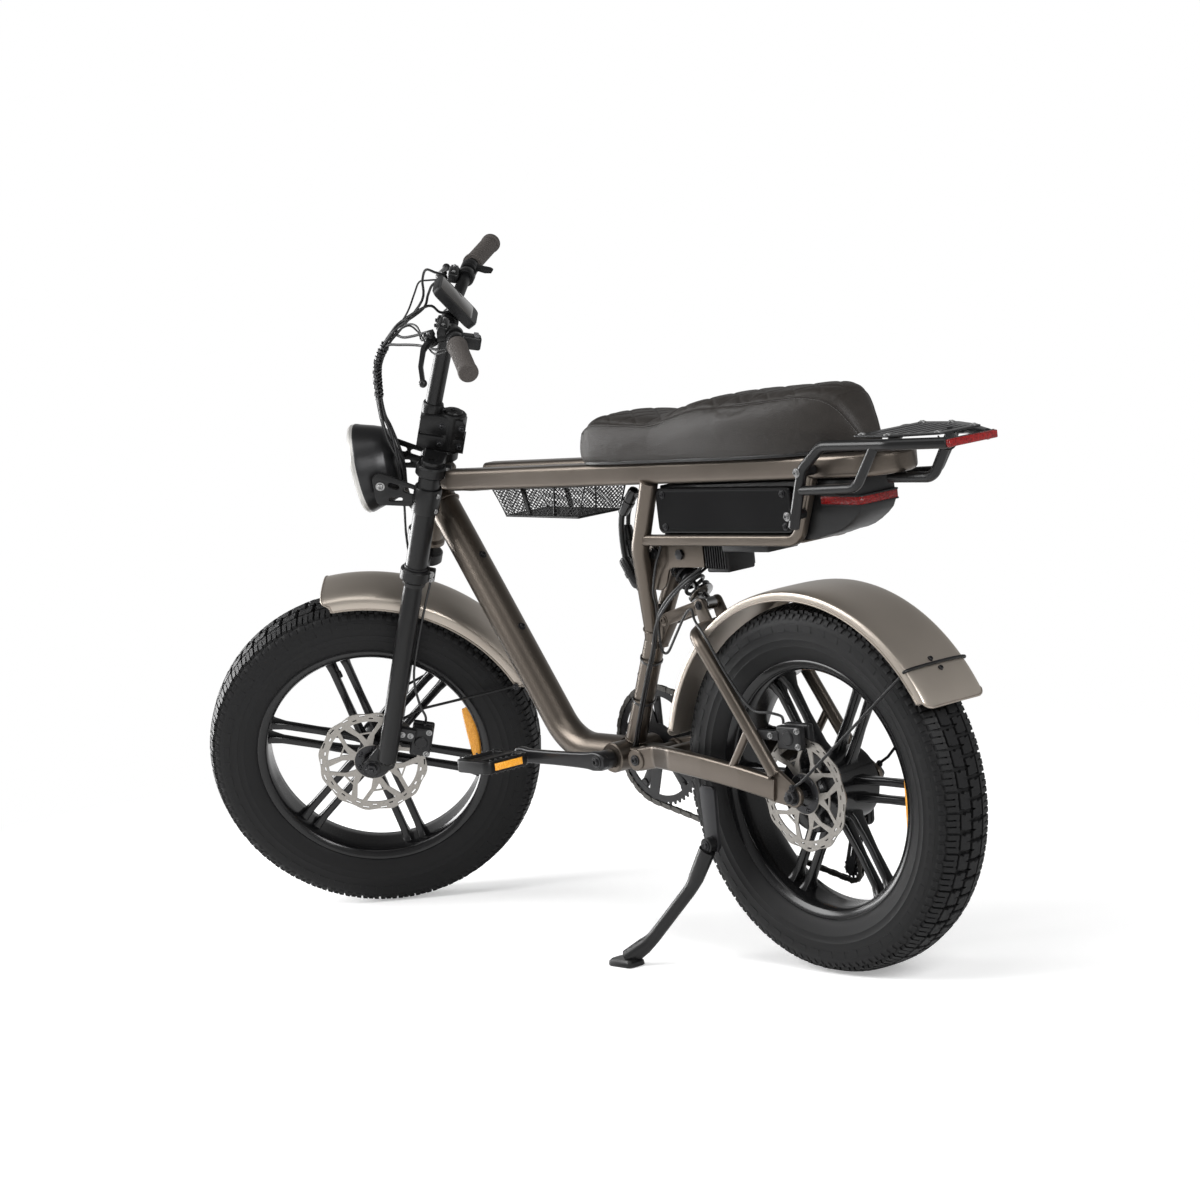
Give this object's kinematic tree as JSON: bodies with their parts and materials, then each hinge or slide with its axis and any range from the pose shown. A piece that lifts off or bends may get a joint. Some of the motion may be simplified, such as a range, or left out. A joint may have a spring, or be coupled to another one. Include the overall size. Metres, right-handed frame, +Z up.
{
  "type": "electric bicycle",
  "caption": "Fat-tyre electric bicycle with long flat seat, battery under the rails, double-crown fork, coil-sprung swingarm, cast wheels, tail rack, basket and kickstand.",
  "frame": {"origin": "middle of the footprint at floor height", "axes": "+X ahead along the bicycle, +Y to its left, +Z up"},
  "size_m": [1.8288, 0.5348, 1.2238],
  "materials": {
    "black_coat": "satin black coat",
    "black_plastic": "matte black",
    "clear_lens": "clear",
    "dark_steel": "blackened",
    "fender_paint": "satin champagne grey",
    "frame_paint": "satin bronze",
    "grip_rubber": "matte dark grey rubber",
    "red_lens": "glossy red",
    "rotor_steel": "brushed",
    "seat_leather": "dark charcoal, soft grain",
    "tyre_rubber": "matte black rubber"
  },
  "bodies": {
    "frame": {"frame": "frame_paint", "top_rails": "frame_paint", "battery_cradle": "frame_paint", "battery_case": "black_plastic", "tail_light": "red_lens", "controller": "black_plastic", "basket": "black_coat", "seat_pan": "black_plastic", "seat_pad": "seat_leather", "rack_left": "black_coat", "rack_right": "black_coat", "rack_deck": "rotor_steel", "rack_light": "red_lens"},
    "steering": {"lower_crown": "black_coat", "upper_crown": "black_coat", "fork_tube_left": "black_coat", "fork_tube_right": "black_coat", "stem_mast": "black_coat", "handlebar": "black_coat", "grip_left": "grip_rubber", "grip_right": "grip_rubber", "brake_perch_left": "black_coat", "brake_perch_right": "black_coat", "display": "black_plastic", "headlight_shell": "black_coat", "headlight_lens": "clear_lens", "cable_bundle": "black_coat", "control_pad": "black_plastic"},
    "fork_lowers": {"slider_left": "black_coat", "slider_right": "black_coat", "front_axle": "dark_steel", "front_fender": "fender_paint", "front_caliper": "black_coat", "front_hose": "black_coat"},
    "front_wheel": {"front_tyre": "tyre_rubber", "front_rim": "black_coat", "front_rotor": "rotor_steel"},
    "swingarm": {"swingarm": "frame_paint", "rear_fender": "fender_paint", "rear_caliper": "black_coat", "derailleur": "black_plastic", "chain": "dark_steel", "rear_hose": "black_coat"},
    "rear_wheel": {"rear_tyre": "tyre_rubber", "rear_rim": "black_coat", "rear_rotor": "rotor_steel"},
    "freewheel": {"freewheel": "dark_steel"},
    "crank": {"crank_right": "dark_steel", "crank_left": "dark_steel"},
    "pedal_left": {"pedal_left": "black_plastic"},
    "pedal_right": {"pedal_right": "black_plastic"},
    "kickstand": {"kickstand": "black_coat"},
    "shock_body": {"shock_body": "dark_steel", "shock_spring": "dark_steel"},
    "shock_rod": {"shock_rod": "rotor_steel"},
    "rocker": {"rocker": "frame_paint"},
    "lever_left": {"lever_left": "black_coat"},
    "lever_right": {"lever_right": "black_coat"},
    "throttle": {"throttle": "black_plastic"},
    "derailleur_cage": {"derailleur_cage": "dark_steel"}
  },
  "joints": [
    {"name": "steering_turn", "type": "hinge", "parent": "frame", "child": "steering", "pos_m": [0.63032, -0.0134, 0.308], "axis": [-0.3859, 0, 0.9225], "range_deg": [-94.2, 0], "deforming": ["cable_bundle"]},
    {"name": "fork_travel", "type": "slide", "parent": "steering", "child": "fork_lowers", "axis": [-0.3859, 0, 0.9225], "range_m": [0, 0.04], "stiffness_N_per_m": 6000, "springref_m": -0.05, "deforming": ["front_hose"]},
    {"name": "front_wheel_spin", "type": "hinge", "parent": "fork_lowers", "child": "front_wheel", "pos_m": [0.66079, 0.01488, 0.30324], "axis": [-0.6758, 0.6807, -0.2827], "continuous": true},
    {"name": "swingarm_swing", "type": "hinge", "parent": "frame", "child": "swingarm", "pos_m": [-0.10384, -0.0134, 0.333], "axis": [0, 1, 0], "range_deg": [0, 4], "stiffness_Nm_per_rad": 1000, "springref_deg": -11.46, "deforming": ["chain", "rear_hose"]},
    {"name": "rear_wheel_spin", "type": "hinge", "parent": "swingarm", "child": "rear_wheel", "pos_m": [-0.52784, -0.0134, 0.308], "axis": [0, 1, 0], "continuous": true},
    {"name": "crank_spin", "type": "hinge", "parent": "frame", "child": "crank", "pos_m": [-0.03484, -0.0134, 0.331], "axis": [0, 1, 0], "continuous": true},
    {"name": "freewheel_spin", "type": "hinge", "parent": "swingarm", "child": "freewheel", "pos_m": [-0.52784, -0.0134, 0.308], "axis": [0, 1, 0], "continuous": true},
    {"name": "pedal_left_spin", "type": "hinge", "parent": "crank", "child": "pedal_left", "pos_m": [0.13702, 0.1626, 0.3379], "axis": [0, 1, 0], "continuous": true},
    {"name": "pedal_right_spin", "type": "hinge", "parent": "crank", "child": "pedal_right", "pos_m": [-0.2067, -0.1894, 0.3241], "axis": [0, 1, 0], "continuous": true},
    {"name": "kickstand_fold", "type": "hinge", "parent": "swingarm", "child": "kickstand", "pos_m": [-0.31784, 0.0879, 0.212], "axis": [0, 1, 0], "range_deg": [0, 120]},
    {"name": "shock_swing", "type": "hinge", "parent": "frame", "child": "shock_body", "pos_m": [-0.18384, -0.0134, 0.69], "axis": [0, 1, 0], "range_deg": [-3.7, 0]},
    {"name": "shock_travel", "type": "slide", "parent": "shock_body", "child": "shock_rod", "axis": [0.6905, 0, 0.7234], "range_m": [0, 0.021], "deforming": ["shock_spring"]},
    {"name": "rocker_swing", "type": "hinge", "parent": "frame", "child": "rocker", "pos_m": [-0.16784, -0.0134, 0.572], "axis": [0, 1, 0], "range_deg": [0, 10.2]},
    {"name": "lever_left_pull", "type": "hinge", "parent": "steering", "child": "lever_left", "pos_m": [0.22325, 0.12377, 1.07373], "axis": [-0.1063, 0.5058, 0.8561], "range_deg": [0, 18], "stiffness_Nm_per_rad": 2, "springref_deg": -5.73},
    {"name": "lever_right_pull", "type": "hinge", "parent": "steering", "child": "lever_right", "pos_m": [0.4287, -0.08317, 1.15966], "axis": [-0.1291, -0.2687, -0.9545], "range_deg": [0, 18], "stiffness_Nm_per_rad": 2, "springref_deg": -5.73},
    {"name": "throttle_push", "type": "hinge", "parent": "steering", "child": "throttle", "pos_m": [0.4186, -0.13812, 1.17177], "axis": [0.5585, -0.7552, 0.3432], "range_deg": [0, 40], "stiffness_Nm_per_rad": 0.2, "springref_deg": -11.46},
    {"name": "cage_swing", "type": "hinge", "parent": "swingarm", "child": "derailleur_cage", "pos_m": [-0.51284, -0.0134, 0.236], "axis": [0, 1, 0], "range_deg": [-5, 20], "stiffness_Nm_per_rad": 6, "deforming": ["chain"]}
  ],
  "couplings": [
    {"joint": "freewheel_spin", "follows": "crank_spin", "ratio": 3.7143},
    {"joint": "shock_swing", "follows": "swingarm_swing", "ratio": -0.915},
    {"joint": "shock_travel", "follows": "swingarm_swing", "m_per_rad": 0.2988},
    {"joint": "rocker_swing", "follows": "swingarm_swing", "ratio": 2.53}
  ]
}
